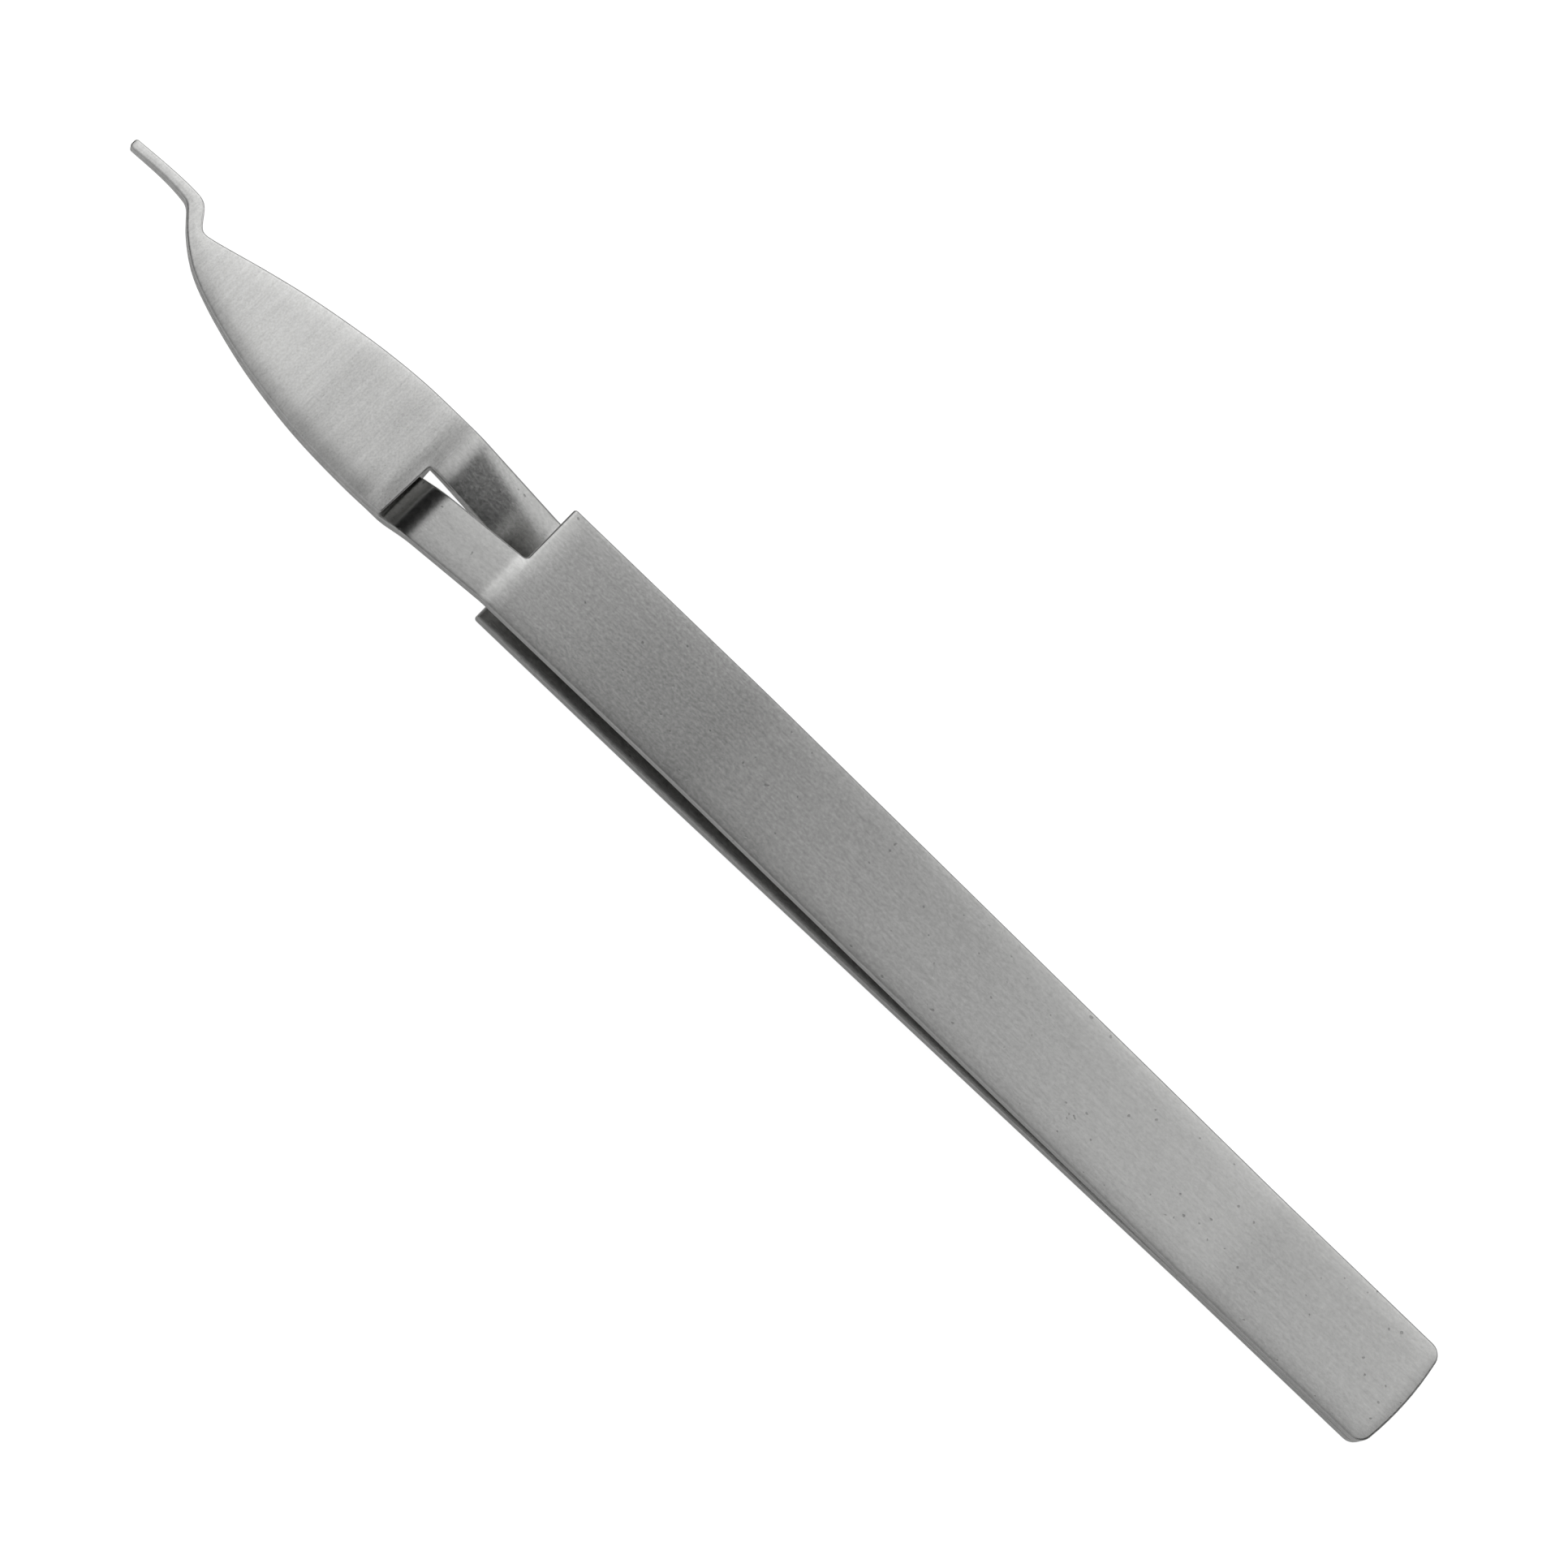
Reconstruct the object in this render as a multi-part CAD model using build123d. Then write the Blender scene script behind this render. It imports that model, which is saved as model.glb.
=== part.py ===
from build123d import *
import math
import os

# Self-closing (cross-action) tweezers: two flat strips welded together at the tail and bowed apart along
# the handle. In front of the handle each strip is notched to half its width and crosses to the other side,
# so squeezing the handle opens the heads. Millimetres, +X to the tip, +Z up, lying on the lower leg.

# Lengths along X
HANDLE = 88.4               # front edge of the handle back to the tail end
NECK = 10.05                # front edge of the handle to the outer corner of the head's back edge
LEAF = 25.35                # back edge of the head to the root of the narrow prong
PRONG_LENGTH = 6.4
BACK_SKEW = 0.2             # the head's back edge is this much nearer to the handle at its inner end
WELD_LAND = 16.9            # flat, welded part of the tail
FLAT_GRIP = 19.0            # level part of each leg, behind the front edge
FLEX_AHEAD = 17.0           # hinge line, in front of the weld land
GRIND = 22.1                # how far back from the tip the outer face is ground

# Widths across Y
WIDTH = 9.7                 # handle, at its front edge
TAIL_WIDTH = 9.3
HEAD_WIDTH = 9.4            # widest part of the head
NECK_CLEAR = 0.62           # sideways, between the two crossing necks
NECK_MID = 0.10             # middle of that clearance
NECK_SPLAY = 0.17           # the upper leg's neck is this much narrower where it meets the head
NECK_INSET = 0.15           # the lower leg's neck is narrower than the handle by this
PRONG = 0.82                # width of the prong
PRONG_Y = -2.50             # its centre line
PRONG_FLARE = 0.09          # each side of the prong stands out by this much more at its root
PRONG_BOW = 0.04            # sideways curve of the prong at its tip

# Heights along Z
THICK = 1.2                 # strip stock
GRIP_GAP = 4.28             # between the two handle legs, at the front
HEAD_GAP = 0.26             # between the two heads, at their back edges
TIP_GAP = 0.02              # between the two heads, at the closed tips
TIP_THICK = 0.52            # each tip, after grinding
FLEX_CUT = 0.06             # across each strip, where the bending leg is stood in for by a hinge

# Bends, radii at mid thickness
TAIL_BEND_R = 60.0
GRIP_BEND_R = 90.0
NECK_BEND_R = 3.6           # where a neck leaves its leg
HEAD_BEND_R = 2.2           # where it meets its head
KNEE_BEND_R = 5.0           # where the upper leg's neck turns steeper
BEND_X = 0.3                # first bend, in front of the handle's front edge
DIVE_ANGLE = 15.0           # slope of the upper leg's neck behind the knee, in degrees
KNEE_BACK = 2.45            # knee, behind the outer corner of the head's back edge
DIVE_BEND = -0.2            # upper leg's last bend, from the same corner
RISE_BEND = -0.75           # lower leg's last bend, from the same corner

# Corners
CORNER_R = 0.20             # free corners at the notches
NOTCH_R = 0.22              # inner corners of the notches
TAIL_CORNER_R = 1.1
TAIL_BULGE = 0.45           # the tail end is a shallow arc
PRONG_OUTER_R = 1.0         # outer side of the step from the head to the prong
PRONG_INNER_R = 0.35        # inner side of that step
PRONG_TIP_R = 0.26
LEAF_END_R = 0.55           # where the head's short side turns into the step

# Head outline: share of its length, share of its width off its centre line
HEAD_Y = 0.27
LEFT = [(0.0, 0.498), (0.30, 0.486), (0.58, 0.376), (0.815, 0.188), (0.917, 0.037), (0.998, -0.172)]
RIGHT = [(0.0, -0.500), (0.29, -0.472), (0.58, -0.359), (0.86, -0.182), (0.915, -0.152)]
LEFT_ENDS = [(1, 0.05), (0.62, -1)]     # directions of the +Y edge at its two ends
RIGHT_ENDS = [(1, 0), (1, 0.01)]
PRONG_ROOT = 0.50           # prong's root, in front of the head's end, at its centre line
PRONG_STEP = 0.76           # the root's +Y side is in front of that, its -Y side behind, by this much

# Weld nuggets
NUGGET_R = 1.6
NUGGET_DEEP = 0.35          # into each strip
NUGGETS = 2
NUGGET_PITCH = 7.0
NUGGET_END = 5.0            # last nugget to the tail end

# Derived
TIP_X = NECK + LEAF + PRONG_LENGTH
LENGTH = HANDLE + TIP_X
NECK_IN_UPPER = NECK_MID + NECK_CLEAR / 2
NECK_IN_LOWER = NECK_MID - NECK_CLEAR / 2
HALF = WIDTH / 2
TAIL_HALF = TAIL_WIDTH / 2
FLEX_X = -HANDLE + WELD_LAND + FLEX_AHEAD
REACH = 2 * (WIDTH + HEAD_WIDTH)    # past the strips on every side, for cutting
RUN_ON = 1.0                        # past both ends of the strip, trimmed by its plan

# Frame: middle of the length, centre line of the handle, bottom of the lower leg
SHIFT = (LENGTH / 2 - TIP_X, 0.0, GRIP_GAP / 2 + THICK)


def left_of(v):
    return Vector(-v.Z, 0, v.X)


def strip_side(points, radii, thick):
    """Side face of a bent strip: its mid line runs through the points, with a bend at each inner one."""
    mids = [Vector(x, 0, z) for x, z in points]
    sides = {}
    for sign in (1, -1):
        d = sign * thick / 2
        first = (mids[1] - mids[0]).normalized()
        at = mids[0] + left_of(first) * d
        run = []
        for i, radius in enumerate(radii, start=1):
            u = (mids[i] - mids[i - 1]).normalized()
            v = (mids[i + 1] - mids[i]).normalized()
            turn = math.atan2(u.X * v.Z - u.Z * v.X, u.dot(v))
            back = radius * math.tan(abs(turn) / 2)
            side = 1 if turn > 0 else -1
            centre = mids[i] - u * back + left_of(u) * radius * side
            start = mids[i] - u * back + left_of(u) * d
            end = mids[i] + v * back + left_of(v) * d
            middle = centre + (mids[i] - centre).normalized() * (radius - side * d)
            run.append(Line(at, start))
            run.append(ThreePointArc(start, middle, end))
            at = end
        last = (mids[-1] - mids[-2]).normalized()
        run.append(Line(at, mids[-1] + left_of(last) * d))
        sides[sign] = run
    caps = [Line(sides[1][0] @ 0, sides[-1][0] @ 0), Line(sides[1][-1] @ 1, sides[-1][-1] @ 1)]
    return make_face(sides[1] + sides[-1] + caps)


def rounded(face, point, radius):
    """The face with its corner nearest to the point rounded."""
    corner = face.vertices().sort_by_distance(Vector(*point, 0))[0]
    return fillet(corner, radius)


def head_points(side):
    """The long edge of the head on one side, from its back edge forward."""
    return [(NECK + LEAF * u, HEAD_Y + HEAD_WIDTH * v) for u, v in side]


def prong_points(side):
    """Root, middle and end of one edge of the prong; side is +1 or -1 along Y."""
    edge = PRONG_Y + side * PRONG / 2
    root = NECK + LEAF + PRONG_ROOT + side * PRONG_STEP
    return [(root, edge + side * PRONG_FLARE), ((root + TIP_X) / 2, edge), (TIP_X, edge + PRONG_BOW)]


def outline(upper):
    """Plan of one strip. The upper leg's neck is on the +Y side, the lower leg's on the -Y side."""
    left = head_points(LEFT)
    right = head_points(RIGHT)
    prong_left = prong_points(1)
    prong_right = prong_points(-1)
    tail_left = (-HANDLE + TAIL_BULGE, TAIL_HALF)
    tail_right = (-HANDLE + TAIL_BULGE, -TAIL_HALF)
    run = [Spline(*left, tangents=LEFT_ENDS)]
    run.append(Line(left[-1], prong_left[0]))
    run.append(Spline(*prong_left))
    run.append(Line(prong_left[-1], prong_right[-1]))
    run.append(Spline(*prong_right))
    run.append(Line(prong_right[0], right[-1]))
    run.append(Spline(*right, tangents=RIGHT_ENDS))
    run.append(ThreePointArc(tail_left, (-HANDLE, 0), tail_right))
    inner = NECK - BACK_SKEW
    if upper:
        neck = [left[0], (0, HALF), tail_left]
        notch = [right[0], (inner, NECK_IN_UPPER + NECK_SPLAY), (0, NECK_IN_UPPER), (0, -HALF), tail_right]
    else:
        neck = [right[0], (NECK_INSET, -HALF + NECK_INSET), (0, -HALF), tail_right]
        notch = [left[0], (inner, NECK_IN_LOWER), (0, NECK_IN_LOWER), (0, HALF), tail_left]
    for points in (neck, notch):
        for start, end in zip(points, points[1:]):
            run.append(Line(start, end))
    face = make_face(run)
    corners = [(notch[0], CORNER_R), (notch[1], NOTCH_R), (notch[2], NOTCH_R), (notch[3], CORNER_R)]
    corners += [(tail_left, TAIL_CORNER_R), (tail_right, TAIL_CORNER_R)]
    corners += [(prong_left[0], PRONG_OUTER_R), (prong_right[0], PRONG_INNER_R), (right[-1], LEAF_END_R)]
    corners += [(prong_left[-1], PRONG_TIP_R), (prong_right[-1], PRONG_TIP_R)]
    for point, radius in corners:
        face = rounded(face, point, radius)
    return face


def side_line(upper):
    """Mid line of a strip and its bend radii, seen from the side as the upper leg's, mid plane at z = 0."""
    leg = GRIP_GAP / 2 + THICK / 2
    under = -(HEAD_GAP / 2 + THICK / 2)
    tip = -(TIP_GAP / 2 + THICK / 2)
    points = [(-HANDLE - RUN_ON, THICK / 2), (-HANDLE + WELD_LAND, THICK / 2), (-FLAT_GRIP, leg), (BEND_X, leg)]
    radii = [TAIL_BEND_R, GRIP_BEND_R, NECK_BEND_R]
    if upper:
        knee = NECK - KNEE_BACK
        points.append((knee, leg - (knee - BEND_X) * math.tan(math.radians(DIVE_ANGLE))))
        radii.append(KNEE_BEND_R)
    points.append((NECK + (DIVE_BEND if upper else RISE_BEND), under))
    points.append((TIP_X + RUN_ON, tip))
    return points, radii + [HEAD_BEND_R]


def grinding():
    """The wedge ground off the outer face of the upper leg's head, which is the lower one."""
    start = TIP_X - GRIND
    deep = HEAD_GAP / 2 + THICK
    end = TIP_X + 2 * RUN_ON
    corners = [(start, 0, -deep), (TIP_X, 0, -TIP_THICK), (end, 0, -TIP_THICK), (end, 0, -REACH)]
    run = Polyline(*corners, (start, 0, -REACH), close=True)
    return extrude(make_face(run), amount=REACH, both=True)


def strip(upper):
    """One whole strip, as stamped, bent and ground."""
    side = strip_side(*side_line(upper), THICK)
    bent = extrude(side, amount=REACH, both=True) - grinding()
    if not upper:
        bent = mirror(bent, about=Plane.XY)
    return bent & extrude(outline(upper), amount=REACH, both=True)


def nuggets():
    """Disc of fused metal at each spot weld, half in each strip."""
    places = [-HANDLE + NUGGET_END + NUGGET_PITCH * i for i in range(NUGGETS)]
    return [Pos(x, 0, 0) * Cylinder(NUGGET_R, 2 * NUGGET_DEEP) for x in places]


def build():
    """Every node by name, in the frame of the handle's front edge and the mid plane."""
    big = 4 * LENGTH
    half_box = Box(big, big, big)
    behind = Pos(FLEX_X - FLEX_CUT / 2 - big / 2, 0, 0) * half_box
    ahead = Pos(FLEX_X + FLEX_CUT / 2 + big / 2, 0, 0) * half_box
    welds = nuggets()
    nodes = {}
    for name, upper in (("upper", True), ("lower", False)):
        whole = strip(upper)
        tail = whole & behind
        for weld in welds:
            tail = tail - weld
        nodes[name + "_blade_tail"] = tail
        nodes[name + "_blade_arm"] = whole & ahead
    for i, weld in enumerate(welds, start=1):
        nodes["weld_nugget_" + str(i)] = weld
    return nodes


os.makedirs("parts", exist_ok=True)
for name, shape in build().items():
    export_step(Pos(*SHIFT) * shape, "parts/" + name + ".step")
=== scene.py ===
import math

import bmesh
import bpy
from mathutils import Matrix, Vector


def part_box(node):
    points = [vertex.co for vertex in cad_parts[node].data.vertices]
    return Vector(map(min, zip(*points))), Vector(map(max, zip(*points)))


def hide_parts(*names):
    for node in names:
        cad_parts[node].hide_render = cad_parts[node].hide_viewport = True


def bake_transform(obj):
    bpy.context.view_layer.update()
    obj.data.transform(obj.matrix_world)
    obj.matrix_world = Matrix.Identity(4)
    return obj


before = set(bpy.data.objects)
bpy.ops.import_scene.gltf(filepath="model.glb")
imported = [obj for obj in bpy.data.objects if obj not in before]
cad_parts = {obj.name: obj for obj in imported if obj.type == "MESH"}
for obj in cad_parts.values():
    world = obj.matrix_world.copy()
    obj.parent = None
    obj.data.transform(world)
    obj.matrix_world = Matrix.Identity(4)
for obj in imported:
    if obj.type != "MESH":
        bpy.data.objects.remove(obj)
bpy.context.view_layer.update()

# Self-closing tweezers: two bent steel strips, each one unbroken piece from its tail to its tip.
# Each strip is shaped flat, then bent. Its plan is in millimetres from the front edge of the handle,
# +X to the tips, and its heights are from the mid plane between the two strips.

MM = 0.001
MICRON = 0.000001

# ---- sizes -------------------------------------------------------------------------------------

TAIL_LOW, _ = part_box("upper_blade_tail")
_, ARM_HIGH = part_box("upper_blade_arm")
LOWER_LOW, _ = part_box("lower_blade_arm")

# Lengths along X
TIP_X = 41.8
HANDLE = (ARM_HIGH[0] - TAIL_LOW[0]) / MM - TIP_X
SHIFT_X = ARM_HIGH[0] / MM - TIP_X                  # the handle's front edge in the shared frame
WELD_FRONT = -HANDLE + 16.9
GRIP_BACK = -19.0                                   # level part of each leg, from here to the front edge
NECK = 10.05                                        # outer corner of the head's back edge
BACK_SKEW = 0.2                                     # the head's back edge leans this much towards the handle
GRIND_FROM = 19.7                                   # the head's outer face is ground from here to the tip

# Widths across Y
HALF = 4.85                 # handle
TAIL_HALF = 4.65
TAIL_BULGE = 0.45           # the tail end is a shallow arc
UPPER_INNER = (0.41, 0.58)  # inner side of the upper leg's neck, at the handle and at the head
LOWER_INNER = (-0.21, -0.12)
NECK_INSET = 0.15           # the lower leg's neck is narrower than the handle by this

# Heights along Z
THICK = 1.2
MID_Z = (ARM_HIGH[2] + LOWER_LOW[2]) / 2 / MM       # the mid plane in the shared frame
LEG_MID = (ARM_HIGH[2] / MM - MID_Z) - THICK / 2    # mid line of the upper leg
HEAD_MID = -0.73
TIP_MID = -0.61
TIP_THICK = 0.52

# Radii of the plan's corners
TAIL_R = 1.1
TIP_R = 0.26
FREE_R = 0.24               # where a leg or a head ends beside a notch
NOTCH_R = 0.3

# Shape of the faces
RIM = 0.17                  # rounding of every rim
FALL = 0.045                # the broad faces' fall to their rims
FALL_WIDTH = 1.3
EDGE_FALL = 0.19            # rounding of the head's outer face along its +Y edge
EDGE_WIDTH = 0.55
EDGE_FADE_IN = 1.3          # it grows over this length in front of the head's back edge,
EDGE_END = 33.0             # and ends here, fading
EDGE_FADE_OUT = 3.0         # over this length
ROLL_DEEP = 0.23            # how far the bending press pulled down the outer side of the rising neck
ROLL_START = -2.0
ROLL_END = 8.6
ROLL_WIDTH = 1.3            # at its end
ROLL_WIDER = 1.9            # at its first bend, wider by this

# Edges of the head, from its back edge to the tip
LEFT_EDGE = [(NECK, 4.95), (13.2, 5.01), (17.7, 4.84), (21.2, 4.45), (24.8, 3.80), (28.3, 2.86), (30.7, 2.02),
             (32.2, 1.30), (33.4, 0.48), (34.5, -0.46), (35.3, -1.32), (35.75, -1.80), (36.3, -2.05),
             (38.5, -2.20), (TIP_X, -2.06)]
RIGHT_EDGE = [(NECK, -4.43), (14.2, -4.41), (17.7, -4.15), (21.2, -3.70), (24.8, -3.10), (28.3, -2.33),
              (31.9, -1.42), (33.1, -1.17), (33.6, -1.25), (34.0, -1.66), (34.6, -2.46), (35.05, -2.83),
              (35.7, -3.01), (38.0, -3.05), (TIP_X, -2.86)]


def run(start, end, step):
    """Places from start to end, both kept, about a step apart."""
    n = max(1, round(abs(end - start) / step))
    return [start + (end - start) * i / n for i in range(n + 1)]


# Rows across a strip, closest where it bends or narrows most, and clear of the rounded corners
HANDLE_ROWS = run(-HANDLE + 1.7, -0.35, 0.9)
NECK_ROWS = run(0.35, NECK - 0.45, 0.16)
HEAD_ROWS = run(NECK, 33.0, 0.6) + run(33.1, 36.6, 0.125) + run(36.9, TIP_X, 0.35)
NECK_SPAN = (0.3, NECK - 0.4)
ROW_CUTS = 12               # each row is split in this many places
ROW_CROWDING = 1.7          # above 1, the splits crowd towards the rims
SAME_ROW = 0.03             # along X, between neighbours in one row
SHORTEST_ROW = 0.3
RIM_REACH = 3.0             # along X, between a point and the rims that it can be nearest to

# ---- a strip's plan ----------------------------------------------------------------------------


def smooth_y(points, x):
    """Y at x of a smooth line through the points."""
    last = len(points) - 2
    i = min(max(sum(1 for p in points if p[0] <= x) - 1, 0), last)
    (x0, y0), (x1, y1) = points[i], points[i + 1]

    def slope(k):
        a, b = points[max(k - 1, 0)], points[min(k + 1, last + 1)]
        return (b[1] - a[1]) / (b[0] - a[0])

    span = x1 - x0
    t = (x - x0) / span
    a, b = slope(i) * span, slope(i + 1) * span
    return ((2 * t**3 - 3 * t**2 + 1) * y0 + (t**3 - 2 * t**2 + t) * a
            + (3 * t**2 - 2 * t**3) * y1 + (t**3 - t**2) * b)


def tail_end():
    """The tail's shallow arc, from the +Y side round to the -Y side, with a radius for its two corners."""
    ys = run(TAIL_HALF, -TAIL_HALF, 0.9)
    arc = [(-HANDLE + TAIL_BULGE * (y / TAIL_HALF) ** 2, y, 0) for y in ys]
    arc[0] = arc[0][:2] + (TAIL_R,)
    arc[-1] = arc[-1][:2] + (TAIL_R,)
    return arc


def plan(upper):
    """Corners of one strip, anticlockwise from the tip's +Y corner, with the radius of each sharp one."""
    left = [(x, smooth_y(LEFT_EDGE, x), 0) for x in reversed(HEAD_ROWS)]
    right = [(x, smooth_y(RIGHT_EDGE, x), 0) for x in HEAD_ROWS]
    left[0] = left[0][:2] + (TIP_R,)
    right[-1] = right[-1][:2] + (TIP_R,)
    inner = NECK - BACK_SKEW
    if upper:
        right[0] = right[0][:2] + (FREE_R,)
        notch = [(0, -HALF, FREE_R), (0, UPPER_INNER[0], NOTCH_R), (inner, UPPER_INNER[1], NOTCH_R)]
        return left + [(0, HALF, 0)] + tail_end() + notch + right
    left[-1] = left[-1][:2] + (FREE_R,)
    notch = [(inner, LOWER_INNER[1], NOTCH_R), (0, LOWER_INNER[0], NOTCH_R), (0, HALF, FREE_R)]
    neck = [(0, -HALF, 0), (NECK_INSET, -HALF + NECK_INSET, 0)]
    return left + notch + tail_end() + neck + right


# ---- a strip's side profile --------------------------------------------------------------------

ENDS = [(-HANDLE - 1.0, THICK / 2), (TIP_X + 1.0, TIP_MID)]
FIRST_BEND = 0.3
KNEE = NECK - 2.45          # the upper leg's neck turns steeper here
DIVE_SLOPE = math.tan(math.radians(15))
DIVE_BEND = NECK - 0.2      # last bend of the upper leg's neck, under the other head
RISE_BEND = NECK - 0.75     # last bend of the lower leg's neck


def bends(upper):
    """Place and radius of each bend of the mid line, on a strip seen as the upper leg's."""
    places = [(WELD_FRONT, THICK / 2, 60.0), (GRIP_BACK, LEG_MID, 90.0), (FIRST_BEND, LEG_MID, 3.6)]
    if upper:
        places.append((KNEE, LEG_MID - (KNEE - FIRST_BEND) * DIVE_SLOPE, 5.0))
        return places + [(DIVE_BEND, HEAD_MID, 1.2)]
    return places + [(RISE_BEND, HEAD_MID, 8.0)]


def mid_line(x, upper):
    """Height and slope angle of a strip's mid line at x, with each bend a true arc."""
    places = bends(upper)
    corners = [ENDS[0]] + [b[:2] for b in places] + [ENDS[1]]
    angles = [math.atan2(q[1] - p[1], q[0] - p[0]) for p, q in zip(corners, corners[1:])]
    for (bx, bz, radius), a, b in zip(places, angles, angles[1:]):
        back = radius * math.tan(abs(b - a) / 2)
        x_in, x_out = bx - back * math.cos(a), bx + back * math.cos(b)
        if x_in <= x <= x_out:
            side = 1 if b > a else -1
            cx = x_in - side * radius * math.sin(a)
            cz = bz - back * math.sin(a) + side * radius * math.cos(a)
            angle = side * math.asin((x - cx) / radius)
            return cz - side * radius * math.cos(angle), angle
    i = sum(1 for b in places if b[0] < x)
    p = corners[i]
    return p[1] + (x - p[0]) * math.tan(angles[i]), angles[i]


# ---- blades ------------------------------------------------------------------------------------


def is_flat(face):
    return abs(face.normal.z) > 0.999


def is_rim(edge):
    """Whether a broad face ends at the edge."""
    return sum(is_flat(face) for face in edge.link_faces) == 1


def round_corner(bm, place, radius):
    """The flat face's corner at the place rounded to the radius."""
    corner = min(bm.verts, key=lambda v: (v.co.xy - Vector(place)).length)
    a, b = [(e.other_vert(corner).co - corner.co).normalized() for e in corner.link_edges]
    offset = radius / math.tan(a.angle(b) / 2)
    bmesh.ops.bevel(bm, geom=[corner], offset=offset, offset_type="OFFSET", segments=6, profile=0.5,
                    affect="VERTICES", clamp_overlap=False, material=-1)


def blank(upper):
    """The flat strip as it is stamped: its outline with rounded corners, cut across into rows."""
    bm = bmesh.new()
    corners = plan(upper)
    bm.faces.new([bm.verts.new((x, y, 0)) for x, y, _ in corners])
    for x, y, radius in corners:
        if radius:
            round_corner(bm, (x, y), radius)
    for x in HANDLE_ROWS + NECK_ROWS + HEAD_ROWS[1:-1]:
        geom = bm.verts[:] + bm.edges[:] + bm.faces[:]
        bmesh.ops.bisect_plane(bm, geom=geom, dist=1e-4, plane_co=(x, 0, 0), plane_no=(1, 0, 0))
    return bm


def thicken(bm):
    """Gives the blank its thickness and rounds its rims."""
    top = bmesh.ops.extrude_face_region(bm, geom=bm.faces[:])
    raised = [g for g in top["geom"] if isinstance(g, bmesh.types.BMVert)]
    bmesh.ops.translate(bm, vec=(0, 0, THICK), verts=raised)
    bmesh.ops.translate(bm, vec=(0, 0, -THICK / 2), verts=bm.verts)
    bmesh.ops.recalc_face_normals(bm, faces=bm.faces)
    bmesh.ops.bevel(bm, geom=[e for e in bm.edges if is_rim(e)], offset=RIM, offset_type="OFFSET", segments=4,
                    profile=0.5, affect="EDGES", clamp_overlap=False, material=-1)
    bm.normal_update()


def rows_across(bm, in_neck):
    """Edges that run across the broad faces, either those in the neck or all the others."""
    low, high = NECK_SPAN
    rows = [e for e in bm.edges if all(is_flat(f) for f in e.link_faces) and e.calc_length() > SHORTEST_ROW]
    return [e for e in rows if in_neck == (low < (e.verts[0].co.x + e.verts[1].co.x) / 2 < high)]


def split_rows(bm):
    """Splits the rows of the broad faces, the neck's first, so that no split runs past a notch's corner."""
    for in_neck in (True, False):
        bmesh.ops.subdivide_edges(bm, edges=rows_across(bm, in_neck), cuts=ROW_CUTS, use_grid_fill=True)
    wide = [f for f in bm.faces if len(f.verts) > 4]
    bmesh.ops.triangulate(bm, faces=wide, quad_method="BEAUTY", ngon_method="BEAUTY")


def crowd_rows(bm):
    """Draws the splits of each row out towards the rims, where the faces will curve most."""
    rows = {}
    for v in bm.verts:
        if all(is_flat(f) for f in v.link_faces):
            rows.setdefault((round(v.co.x, 1), v.co.z > 0), []).append(v)
    for row in rows.values():
        ends = [e.other_vert(v) for v in row for e in v.link_edges
                if abs(e.other_vert(v).co.x - v.co.x) < SAME_ROW]
        low, high = min(v.co.y for v in ends), max(v.co.y for v in ends)
        middle, half = (low + high) / 2, (high - low) / 2
        for v in row:
            u = (v.co.y - middle) / half
            v.co.y = middle + half * math.copysign(1 - (1 - abs(u)) ** ROW_CROWDING, u)


def from_line(p, a, b):
    """Distance of p from the line between a and b."""
    along_line = b - a
    t = min(max((p - a).dot(along_line) / max(along_line.length_squared, 1e-12), 0), 1)
    return (p - a - along_line * t).length


def edge_fall(x, y):
    """How far the head's outer face is rounded off near its +Y edge, fading out at both ends of the head."""
    share = min(max((x - NECK) / EDGE_FADE_IN, 0), 1) * min(max((EDGE_END - x) / EDGE_FADE_OUT, 0), 1)
    gap = max(smooth_y(LEFT_EDGE, x) - y, 0) if share else 0
    return EDGE_FALL * share * math.exp(-gap / EDGE_WIDTH)


def roll(x, y):
    """How far the outer side of the rising neck is pulled down, most beside its first bend."""
    if not ROLL_START < x < ROLL_END:
        return 0
    share = (ROLL_END - x) / ROLL_END if x > 0 else (x - ROLL_START) / -ROLL_START
    width = ROLL_WIDTH + ROLL_WIDER * share
    return ROLL_DEEP * share ** 0.7 * max(0, 1 - (y + HALF) / width) ** 2


def crown(bm, upper):
    """Lets the broad faces fall away beside their rims. A leg's inner face is its head's outer one."""
    rims = [(e.verts[0].co.xy.copy(), e.verts[1].co.xy.copy()) for e in bm.edges
            if is_rim(e) and e.verts[0].co.z > 0]
    for v in bm.verts:
        gap = 0
        if any(is_flat(f) for f in v.link_faces):
            gap = min(from_line(v.co.xy, a, b) for a, b in rims if abs(a.x - v.co.x) < RIM_REACH)
        v.co.z *= 1 - FALL / (THICK / 2) * max(0, 1 - gap / FALL_WIDTH) ** 2
        if (v.co.z > 0) != upper:
            v.co.z -= math.copysign(edge_fall(v.co.x, v.co.y), v.co.z)
        if not upper:
            v.co.z -= roll(v.co.x, v.co.y)


def ground_share(x):
    """Share of the strip's thickness left by grinding."""
    if x <= GRIND_FROM:
        return 1.0
    return 1 - (1 - TIP_THICK / THICK) * (x - GRIND_FROM) / (TIP_X - GRIND_FROM)


def bend(bm, upper):
    """Grinds the outer face towards the tip and bends the flat strip along its mid line."""
    for v in bm.verts:
        x = v.co.x
        h = v.co.z if upper else -v.co.z
        h = THICK / 2 - (THICK / 2 - h) * ground_share(x)
        z, angle = mid_line(x, upper)
        z += h * math.cos(angle)
        v.co.x = x - h * math.sin(angle)
        v.co.z = z if upper else -z


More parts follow.
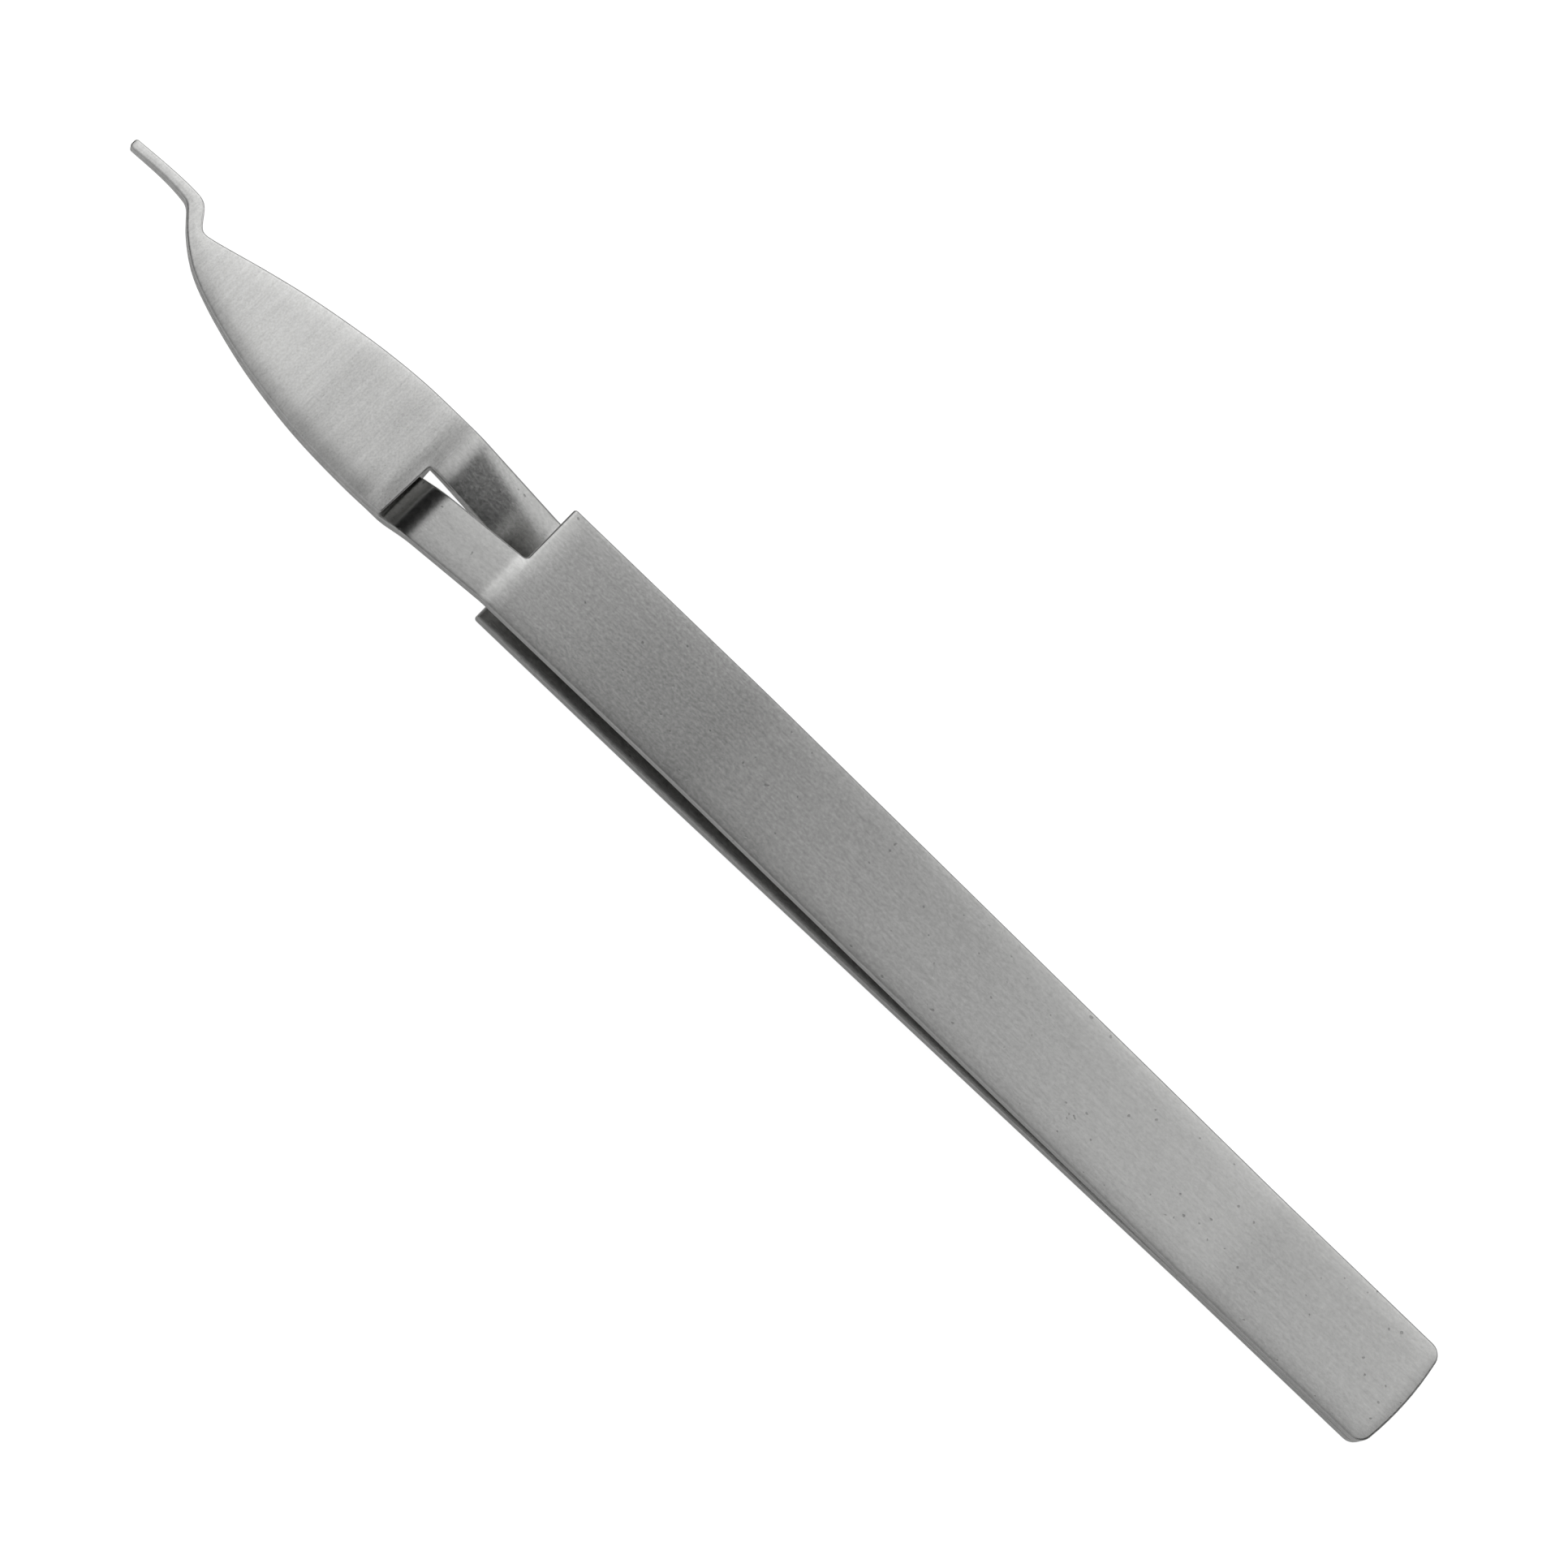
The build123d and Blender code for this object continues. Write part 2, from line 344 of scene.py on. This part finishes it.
def blade(name, upper):
    """One strip, made in the order of the real one: stamped, rounded, ground and bent."""
    bm = blank(upper)
    thicken(bm)
    split_rows(bm)
    crowd_rows(bm)
    crown(bm, upper)
    bend(bm, upper)
    bmesh.ops.translate(bm, vec=(SHIFT_X, 0, MID_Z), verts=bm.verts)
    bmesh.ops.scale(bm, vec=(MM, MM, MM), verts=bm.verts)
    bmesh.ops.recalc_face_normals(bm, faces=bm.faces)
    for f in bm.faces:
        f.smooth = True
    return add_object(name, bm)


def add_object(name, bm):
    """The finished shape as an object in the scene."""
    mesh = bpy.data.meshes.new(name)
    bm.to_mesh(mesh)
    bm.free()
    obj = bpy.data.objects.new(name, mesh)
    bpy.context.scene.collection.objects.link(obj)
    return obj


# ---- materials ---------------------------------------------------------------------------------


class Finish:
    """A node material, with short calls for the nodes that it needs."""

    def __init__(self, name):
        self.material = bpy.data.materials.new(name)
        self.material.use_nodes = True
        self.nodes = self.material.node_tree.nodes
        self.links = self.material.node_tree.links
        self.shader = self.nodes["Principled BSDF"]
        self.place = self.nodes.new("ShaderNodeTexCoord").outputs["Object"]

    def put(self, socket, value):
        """Sets the socket to a number or a colour, or links another node's output to it."""
        if isinstance(value, (int, float, tuple)):
            socket.default_value = value
        else:
            self.links.new(value, socket)

    def noise(self, scale, detail=2.0, rough=0.5, shift=(0, 0, 0), distort=0.0):
        """Noise with its own frequency along each axis, per metre."""
        mapping = self.nodes.new("ShaderNodeMapping")
        mapping.inputs["Scale"].default_value = scale
        mapping.inputs["Location"].default_value = shift
        self.put(mapping.inputs["Vector"], self.place)
        node = self.nodes.new("ShaderNodeTexNoise")
        node.inputs["Scale"].default_value = 1.0
        node.inputs["Detail"].default_value = detail
        node.inputs["Roughness"].default_value = rough
        node.inputs["Distortion"].default_value = distort
        self.put(node.inputs["Vector"], mapping.outputs["Vector"])
        return node.outputs["Fac"]

    def math(self, kind, a, b=0.0, c=0.0):
        node = self.nodes.new("ShaderNodeMath")
        node.operation = kind
        for socket, value in zip(node.inputs, (a, b, c)):
            self.put(socket, value)
        return node.outputs[0]

    def band(self, value, low, high):
        """0 below the low value and 1 above the high one, eased between them."""
        node = self.nodes.new("ShaderNodeMapRange")
        node.interpolation_type = "SMOOTHSTEP"
        for socket, number in zip(node.inputs, (value, low, high, 0.0, 1.0)):
            self.put(socket, number)
        return node.outputs["Result"]

    def grey(self, value):
        """A grey with a trace less blue in it."""
        node = self.nodes.new("ShaderNodeCombineColor")
        for socket in node.inputs[:2]:
            self.put(socket, value)
        self.put(node.inputs[2], self.math("MULTIPLY", value, 0.985))
        return node.outputs[0]

    def bump(self, height, distance, under=None):
        node = self.nodes.new("ShaderNodeBump")
        node.inputs["Distance"].default_value = distance
        node.inputs["Strength"].default_value = 1.0
        self.put(node.inputs["Height"], height)
        if under is not None:
            self.put(node.inputs["Normal"], under)
        return node.outputs["Normal"]

    def total(self, middle, *parts):
        """The middle value with each pattern's swing added to it."""
        out = middle - sum(swing for _, swing in parts) / 2
        for pattern, swing in parts:
            out = self.math("MULTIPLY_ADD", pattern, swing, out)
        return out

    def lit_by_place(self, value, reach, steps):
        """Light by the place along one axis, from -reach to reach, as a share of RAMP_TOP."""
        share = self.nodes.new("ShaderNodeMapRange")
        share.inputs["From Min"].default_value = -reach
        share.inputs["From Max"].default_value = reach
        self.put(share.inputs["Value"], value)
        ramp = self.nodes.new("ShaderNodeValToRGB")
        stops = ramp.color_ramp.elements
        while len(stops) < len(steps):
            stops.new(0.5)
        for stop, (x, light) in zip(stops, steps):
            stop.position = (x + reach) / (2 * reach)
            stop.color = (light / RAMP_TOP, light / RAMP_TOP, light / RAMP_TOP, 1)
        self.put(ramp.inputs["Fac"], share.outputs["Result"])
        return ramp.outputs[0]


def steel_along():
    """Handle and necks: satin steel with a fine lengthwise grain, a crystalline speckle and a few pits."""
    f = Finish("steel_satin_along")
    streaks = f.noise((90, 4200, 4200), 3.0, 0.6)
    grain = f.noise((700, 6500, 6500), 2.0, 0.6, (3, 1, 2))
    speck = f.noise((2800, 4800, 4800), 2.0, 0.7, (7, 2, 5))
    cloud = f.noise((60, 130, 130), shift=(1, 9, 4))
    pits = f.band(f.noise((2400, 2400, 2400), detail=0.0, shift=(11, 3, 8)), 0.82, 0.85)
    tone = f.total(0.60, (streaks, 0.11), (grain, 0.12), (speck, 0.34), (cloud, 0.04))
    f.put(f.shader.inputs["Base Color"], f.grey(f.math("MULTIPLY_ADD", pits, -0.2, tone)))
    f.put(f.shader.inputs["Roughness"], f.total(0.235, (cloud, 0.05), (speck, 0.10)))
    normal = f.bump(grain, 0.6 * MICRON)
    normal = f.bump(speck, 0.7 * MICRON, under=normal)
    f.put(f.shader.inputs["Normal"], f.bump(pits, -8 * MICRON, under=normal))
    f.shader.inputs["Metallic"].default_value = 1.0
    return f.material


def steel_across_painted_sheen():
    """Heads: brushed crosswise, in fine lines that waver a little. Their base tone is lighter than the
    handle's steel, a painted sheen for the light that the crosswise brushing catches.
    """
    f = Finish("steel_brushed_across_painted_sheen")
    lines = f.noise((4800, 420, 420), 3.0, 0.65, distort=0.4)
    broad = f.noise((1300, 90, 90), 3.0, 0.6, (4, 2, 1), 0.7)
    speck = f.noise((7000, 5000, 5000), 2.0, 0.7, (7, 2, 5))
    # painted sheen: the middle tone 0.71, above the handle's 0.60, stands in for the light caught by the
    # crosswise brushing
    tone = f.total(0.71, (lines, 0.20), (broad, 0.30), (speck, 0.46))
    f.put(f.shader.inputs["Base Color"], f.grey(tone))
    f.put(f.shader.inputs["Roughness"], f.total(0.30, (broad, 0.10), (speck, 0.08)))
    normal = f.bump(lines, 1.5 * MICRON)
    normal = f.bump(broad, 4 * MICRON, under=normal)
    f.put(f.shader.inputs["Normal"], f.bump(speck, 0.7 * MICRON, under=normal))
    f.shader.inputs["Metallic"].default_value = 1.0
    return f.material


def pale_floor():
    """A pale sheet lit from below: it is white to the camera, and the steel mirrors a little of its light."""
    f = Finish("floor")
    rays = f.nodes.new("ShaderNodeLightPath").outputs
    mirrored = f.math("MULTIPLY", rays["Is Glossy Ray"], FLOOR_IN_STEEL)
    f.shader.inputs["Base Color"].default_value = (0.85, 0.85, 0.85, 1)
    f.shader.inputs["Roughness"].default_value = 0.9
    f.shader.inputs["Emission Color"].default_value = (1, 1, 1, 1)
    light = f.math("MULTIPLY_ADD", rays["Is Camera Ray"], FLOOR_SEEN, mirrored)
    f.put(f.shader.inputs["Emission Strength"], light)
    return f.material


def lit_silk():
    """The ceiling's white silk, lit unevenly from above."""
    f = Finish("ceiling")
    split = f.nodes.new("ShaderNodeSeparateXYZ")
    f.put(split.inputs[0], f.place)
    along_x = f.lit_by_place(split.outputs["X"], CEILING_HALF, ALONG)
    across_y = f.lit_by_place(split.outputs["Y"], CEILING_HALF, ACROSS)
    glow = f.nodes.new("ShaderNodeEmission")
    light = f.math("MULTIPLY", f.math("MULTIPLY", along_x, across_y), RAMP_TOP ** 2)
    f.put(glow.inputs["Strength"], light)
    f.put(f.nodes["Material Output"].inputs["Surface"], glow.outputs[0])
    return f.material


def black_card():
    f = Finish("card")
    f.shader.inputs["Base Color"].default_value = (0, 0, 0, 1)
    f.shader.inputs["Specular IOR Level"].default_value = 0.0
    return f.material


# ---- the pieces --------------------------------------------------------------------------------

along, across = steel_along(), steel_across_painted_sheen()
for side, upper in (("upper", True), ("lower", False)):
    piece = blade(side + "_blade", upper)
    piece.data.materials.append(along)
    piece.data.materials.append(across)
    head_from = (SHIFT_X + (DIVE_BEND if upper else RISE_BEND)) * MM
    for face in piece.data.polygons:
        face.material_index = 1 if face.center.x > head_from else 0
    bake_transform(piece)
    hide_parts(side + "_blade_tail", side + "_blade_arm")

for name in ("weld_nugget_1", "weld_nugget_2"):
    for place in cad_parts[name].material_slots:
        place.material = along

# ---- floor and lights --------------------------------------------------------------------------

# Places and sizes in metres
FLOOR_Z = -0.0002
FLOOR_HALF = 3.0
FLOOR_SEEN = 0.85
FLOOR_IN_STEEL = 0.12
SKY = 0.3                   # light from all round
SKY_SEEN = 0.8              # the backdrop is brighter than that by this, to the camera
CEILING_Z = 0.6
CEILING_HALF = 1.2
RAMP_TOP = 2.0              # brightest light that a ramp can hold

# Light of the ceiling: place along the object or across it, share of the light
ALONG = [(-1.2, 0.50), (-0.60, 0.66), (-0.32, 0.60), (-0.22, 0.76), (-0.15, 0.84), (-0.11, 0.56),
         (-0.06, 0.40), (0.0, 0.17), (0.03, 0.14), (0.05, 0.34), (0.10, 1.00), (0.20, 1.05), (0.35, 0.70),
         (0.50, 0.58), (0.80, 0.25), (1.2, 0.1)]
ACROSS = [(-1.2, 1.0), (-0.45, 1.4), (-0.30, 1.35), (-0.20, 1.18), (-0.147, 1.0), (-0.08, 0.75), (0.0, 0.55),
          (0.3, 0.45), (1.2, 0.6)]

# Black cards that the necks mirror: name, low corner, high corner, height
CARDS = [("card_tail_side", (-0.58, -0.24), (-0.29, 0.30), 0.5),
         ("card_tail_low", (-1.30, -0.60), (-0.45, 0.40), 0.3),
         ("card_tip_side", (0.31, -0.80), (1.30, 0.30), 0.3)]


def sheet(name, low, high, height, material):
    """A level, flat sheet between two corners, which belongs to the studio."""
    bm = bmesh.new()
    bmesh.ops.create_grid(bm, x_segments=1, y_segments=1, size=0.5)
    bmesh.ops.scale(bm, vec=(high[0] - low[0], high[1] - low[1], 1), verts=bm.verts)
    middle = ((low[0] + high[0]) / 2, (low[1] + high[1]) / 2, height)
    bmesh.ops.translate(bm, vec=middle, verts=bm.verts)
    obj = add_object(name, bm)
    obj.data.materials.append(material)
    return obj


def square(half):
    """Low and high corner of a square about the origin."""
    return (-half, -half), (half, half)


floor = sheet("floor", *square(FLOOR_HALF), FLOOR_Z, pale_floor())

ceiling = sheet("ceiling", *square(CEILING_HALF), CEILING_Z, lit_silk())
ceiling.visible_camera = False

black = black_card()
for name, low, high, height in CARDS:
    card = sheet(name, low, high, height, black)
    card.visible_camera = False

world = bpy.data.worlds.new("studio")
bpy.context.scene.world = world
world.use_nodes = True
sky = world.node_tree.nodes["Background"]
sky.inputs["Color"].default_value = (1, 1, 1, 1)
rays = world.node_tree.nodes.new("ShaderNodeLightPath")
sky_light = world.node_tree.nodes.new("ShaderNodeMath")
sky_light.operation = "MULTIPLY_ADD"
sky_light.inputs[1].default_value = SKY_SEEN
sky_light.inputs[2].default_value = SKY
world.node_tree.links.new(rays.outputs["Is Camera Ray"], sky_light.inputs[0])
world.node_tree.links.new(sky_light.outputs[0], sky.inputs["Strength"])
bpy.context.scene.view_settings.view_transform = "Standard"

# ---- camera ------------------------------------------------------------------------------------

TILT_Y = math.radians(13.8)     # off straight down, over the side of the upper leg's neck
TILT_X = math.radians(0.43)
TURN = math.radians(43.75)      # the tool runs from low on the right to high on the left
LENS = 135.7
DISTANCE = 0.43
AIM_RIGHT, AIM_UP = 0.00203, 0.00015

back = Vector((math.tan(TILT_X), math.tan(TILT_Y), 1)).normalized()
lengthwise = (Vector((1, 0, 0)) - back * back.x).normalized()
sideways = back.cross(lengthwise)
right = -lengthwise * math.cos(TURN) - sideways * math.sin(TURN)
up = lengthwise * math.sin(TURN) - sideways * math.cos(TURN)
camera = bpy.data.objects.new("camera", bpy.data.cameras.new("camera"))
camera.data.lens = LENS
camera.data.clip_start = 0.01
aim = Vector((0, 0, MID_Z * MM)) + right * AIM_RIGHT + up * AIM_UP
axes = Matrix((right, up, back)).transposed().to_4x4()
camera.matrix_world = Matrix.Translation(aim + back * DISTANCE) @ axes
bpy.context.scene.collection.objects.link(camera)
bpy.context.scene.camera = camera
